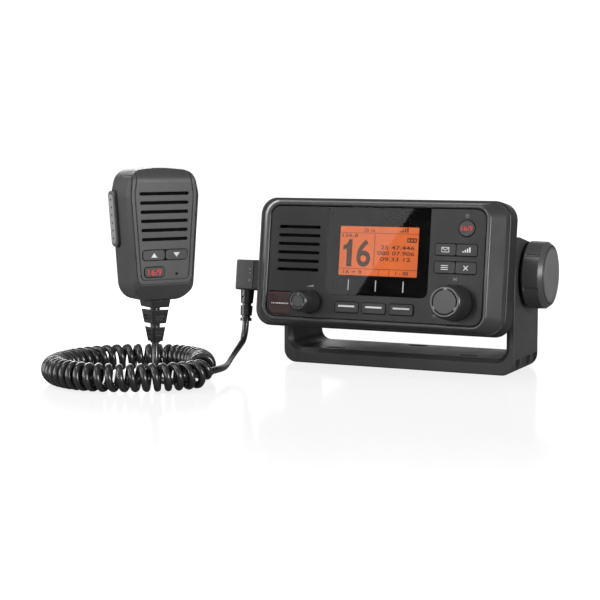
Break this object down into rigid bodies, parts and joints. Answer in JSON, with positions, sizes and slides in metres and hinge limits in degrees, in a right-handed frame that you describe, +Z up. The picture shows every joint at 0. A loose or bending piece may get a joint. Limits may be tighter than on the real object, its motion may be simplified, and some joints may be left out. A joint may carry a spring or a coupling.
{
  "type": "marine vhf radio",
  "caption": "Compact fixed marine VHF radio with display, keys and knobs, tilting in a U-shaped bracket, with a fist microphone on a curly cord.",
  "frame": {"origin": "centre of the bracket's underside, on the surface it is screwed to", "axes": "+Z up, the radio's face looks towards -Y, +X to the right of somebody facing it"},
  "size_m": [0.2796, 0.2706, 0.1311],
  "materials": {
    "housing_plastic": "fine-grained charcoal moulding",
    "face_plastic": "satin dark charcoal",
    "bracket_plastic": "fine-grained black moulding",
    "knob_rubber": "soft-touch black",
    "key_rubber": "smooth black",
    "red_key": "translucent dark key",
    "door_plastic": "glossy dark red",
    "switch_mat": "matt grey silicone",
    "window": "glossy black-bordered lens",
    "display": "lit orange display",
    "circuit_board": "green laminate",
    "plated_steel": "bright plated",
    "cast_alloy": "black powder coat",
    "speaker_cone": "treated black paper",
    "sealing_rubber": "black",
    "nickel": "nickel plate",
    "cord_rubber": "satin black cord",
    "grey_plastic": "light grey moulding"
  },
  "bodies": {
    "bracket": {"mounting_bracket": "bracket_plastic", "curly_cord": "cord_rubber", "mic_cord": "cord_rubber", "plug_cord": "cord_rubber"},
    "radio": {"trim_frame": "housing_plastic", "front_panel": "face_plastic", "front_housing": "housing_plastic", "display_window": "window", "lcd_module": "display", "keypad_mat": "switch_mat", "front_board": "circuit_board", "rotary_encoders": "plated_steel", "speaker_basket": "plated_steel", "speaker_cone": "speaker_cone", "rear_chassis": "cast_alloy", "chassis_gasket": "sealing_rubber", "chassis_screws": "plated_steel", "main_board": "circuit_board", "shield_can": "plated_steel", "antenna_socket": "nickel", "cable_glands": "sealing_rubber", "side_inserts": "nickel", "ratchet_washers": "sealing_rubber", "mic_socket": "housing_plastic", "plug_housing": "housing_plastic", "plug_boot": "cord_rubber"},
    "handset": {"mic_front_shell": "housing_plastic", "mic_rear_shell": "housing_plastic", "mic_board": "circuit_board", "mic_speaker": "speaker_cone", "mic_capsule": "plated_steel", "mic_screws": "plated_steel", "hang_stud": "nickel", "mic_boot": "cord_rubber"},
    "softkey_left": {"softkey_left": "key_rubber"},
    "softkey_middle": {"softkey_middle": "key_rubber"},
    "softkey_right": {"softkey_right": "key_rubber"},
    "key_call_menu": {"key_call_menu": "key_rubber"},
    "key_power_level": {"key_power_level": "key_rubber"},
    "key_menu": {"key_menu": "key_rubber"},
    "key_clear": {"key_clear": "key_rubber"},
    "key_channel_16": {"key_channel_16": "red_key"},
    "distress_key": {"distress_key": "red_key"},
    "volume_plunger": {"volume_plunger": "plated_steel"},
    "volume_knob": {"volume_shaft": "plated_steel", "volume_knob": "knob_rubber"},
    "select_plunger": {"select_plunger": "plated_steel"},
    "select_knob": {"select_shaft": "plated_steel", "select_knob": "knob_rubber"},
    "distress_door": {"distress_door": "door_plastic"},
    "left_clamp_washer": {"left_clamp_washer": "sealing_rubber"},
    "left_clamp_knob": {"left_clamp_knob": "knob_rubber", "left_clamp_stud": "plated_steel"},
    "right_clamp_washer": {"right_clamp_washer": "sealing_rubber"},
    "right_clamp_knob": {"right_clamp_knob": "knob_rubber", "right_clamp_stud": "plated_steel"},
    "mic_key_up": {"mic_key_up": "key_rubber"},
    "mic_key_down": {"mic_key_down": "key_rubber"},
    "mic_key_16": {"mic_key_16": "red_key"},
    "talk_bar": {"ptt_button": "grey_plastic"}
  },
  "joints": [
    {"name": "tilt", "type": "hinge", "parent": "bracket", "child": "radio", "pos_m": [0, 0, 0.0625], "axis": [1, 0, 0], "range_deg": [-17.4, 22.6], "deforming": ["plug_cord"]},
    {"name": "handset_turn", "type": "hinge", "parent": "bracket", "child": "handset", "pos_m": [-0.1123, -0.14, 0.051], "axis": [0, 0, 1], "range_deg": [-90, 90], "deforming": ["mic_cord"]},
    {"name": "softkey_left_press", "type": "slide", "parent": "radio", "child": "softkey_left", "axis": [0, 0.9912, -0.1323], "range_m": [0, 0.0008], "stiffness_N_per_m": 800, "springref_m": -0.001},
    {"name": "softkey_middle_press", "type": "slide", "parent": "radio", "child": "softkey_middle", "axis": [0, 0.9912, -0.1323], "range_m": [0, 0.0008], "stiffness_N_per_m": 800, "springref_m": -0.001},
    {"name": "softkey_right_press", "type": "slide", "parent": "radio", "child": "softkey_right", "axis": [0, 0.9912, -0.1323], "range_m": [0, 0.0008], "stiffness_N_per_m": 800, "springref_m": -0.001},
    {"name": "key_call_menu_press", "type": "slide", "parent": "radio", "child": "key_call_menu", "axis": [0, 0.9912, -0.1323], "range_m": [0, 0.0008], "stiffness_N_per_m": 800, "springref_m": -0.001},
    {"name": "key_power_level_press", "type": "slide", "parent": "radio", "child": "key_power_level", "axis": [0, 0.9912, -0.1323], "range_m": [0, 0.0008], "stiffness_N_per_m": 800, "springref_m": -0.001},
    {"name": "key_menu_press", "type": "slide", "parent": "radio", "child": "key_menu", "axis": [0, 0.9912, -0.1323], "range_m": [0, 0.0008], "stiffness_N_per_m": 800, "springref_m": -0.001},
    {"name": "key_clear_press", "type": "slide", "parent": "radio", "child": "key_clear", "axis": [0, 0.9912, -0.1323], "range_m": [0, 0.0008], "stiffness_N_per_m": 800, "springref_m": -0.001},
    {"name": "key_channel_16_press", "type": "slide", "parent": "radio", "child": "key_channel_16", "axis": [0, 0.9912, -0.1323], "range_m": [0, 0.0008], "stiffness_N_per_m": 800, "springref_m": -0.001},
    {"name": "distress_key_press", "type": "slide", "parent": "radio", "child": "distress_key", "axis": [0, 0.9912, -0.1323], "range_m": [0, 0.0008], "stiffness_N_per_m": 800, "springref_m": -0.001},
    {"name": "volume_plunger_press", "type": "slide", "parent": "radio", "child": "volume_plunger", "axis": [0, 0.9912, -0.1323], "range_m": [0, 0.0008], "stiffness_N_per_m": 1500, "springref_m": -0.001},
    {"name": "volume_turn", "type": "hinge", "parent": "volume_plunger", "child": "volume_knob", "pos_m": [-0.0421, -0.06681, 0.04569], "axis": [0, -0.9912, 0.1323], "continuous": true},
    {"name": "select_plunger_press", "type": "slide", "parent": "radio", "child": "select_plunger", "axis": [0, 0.9912, -0.1323], "range_m": [0, 0.0008], "stiffness_N_per_m": 1500, "springref_m": -0.001},
    {"name": "select_turn", "type": "hinge", "parent": "select_plunger", "child": "select_knob", "pos_m": [0.0548, -0.06635, 0.04916], "axis": [0, -0.9912, 0.1323], "continuous": true},
    {"name": "distress_door_open", "type": "hinge", "parent": "radio", "child": "distress_door", "pos_m": [-0.0632, -0.06504, 0.05029], "axis": [-1, 0, 0], "range_deg": [0, 95], "stiffness_Nm_per_rad": 0.002, "springref_deg": -11.46},
    {"name": "left_clamp_travel", "type": "slide", "parent": "radio", "child": "left_clamp_washer", "axis": [-1, 0, 0], "range_m": [0, 0.003]},
    {"name": "left_clamp_turn", "type": "hinge", "parent": "left_clamp_washer", "child": "left_clamp_knob", "pos_m": [-0.088, 0, 0.0625], "axis": [-1, 0, 0], "range_deg": [0, 1080]},
    {"name": "right_clamp_travel", "type": "slide", "parent": "radio", "child": "right_clamp_washer", "axis": [1, 0, 0], "range_m": [0, 0.003]},
    {"name": "right_clamp_turn", "type": "hinge", "parent": "right_clamp_washer", "child": "right_clamp_knob", "pos_m": [0.088, 0, 0.0625], "axis": [1, 0, 0], "range_deg": [0, 1080]},
    {"name": "mic_key_up_press", "type": "slide", "parent": "handset", "child": "mic_key_up", "axis": [-0.848, 0.5299, 0], "range_m": [0, 0.0008], "stiffness_N_per_m": 800, "springref_m": -0.001},
    {"name": "mic_key_down_press", "type": "slide", "parent": "handset", "child": "mic_key_down", "axis": [-0.848, 0.5299, 0], "range_m": [0, 0.0008], "stiffness_N_per_m": 800, "springref_m": -0.001},
    {"name": "mic_key_16_press", "type": "slide", "parent": "handset", "child": "mic_key_16", "axis": [-0.848, 0.5299, 0], "range_m": [0, 0.0008], "stiffness_N_per_m": 800, "springref_m": -0.001},
    {"name": "talk_bar_press", "type": "slide", "parent": "handset", "child": "talk_bar", "axis": [0.5285, 0.8458, 0.0727], "range_m": [0, 0.0012], "stiffness_N_per_m": 800, "springref_m": -0.001}
  ],
  "couplings": [
    {"joint": "left_clamp_travel", "follows": "left_clamp_turn", "m_per_rad": 0.00015915},
    {"joint": "right_clamp_travel", "follows": "right_clamp_turn", "m_per_rad": 0.00015915}
  ]
}
